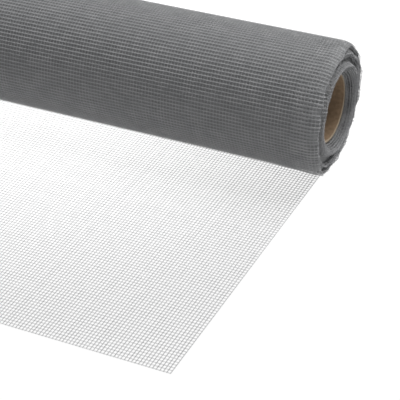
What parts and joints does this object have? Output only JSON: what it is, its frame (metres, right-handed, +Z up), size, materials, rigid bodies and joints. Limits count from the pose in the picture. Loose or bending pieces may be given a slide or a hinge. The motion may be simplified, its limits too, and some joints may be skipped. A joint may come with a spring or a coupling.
{
  "type": "fiberglass insect screen roll",
  "caption": "Roll of coated fibreglass insect screen on a cardboard core, with its free end laid out flat.",
  "frame": {"origin": "on the floor under the roll's axis, midway between the two side edges of the free end", "axes": "+X along the roll's axis towards the end whose turns stand proud, +Z up, and the free end lies towards -Y"},
  "size_m": [0.6053, 0.1739, 0.0558],
  "materials": {
    "screen_mesh": "grey PVC-coated fibreglass yarn, satin",
    "core_board": "spiral-wound brown paperboard, matt"
  },
  "bodies": {
    "root": {"insect_screen": "screen_mesh", "core_tube": "core_board"}
  },
  "joints": []
}
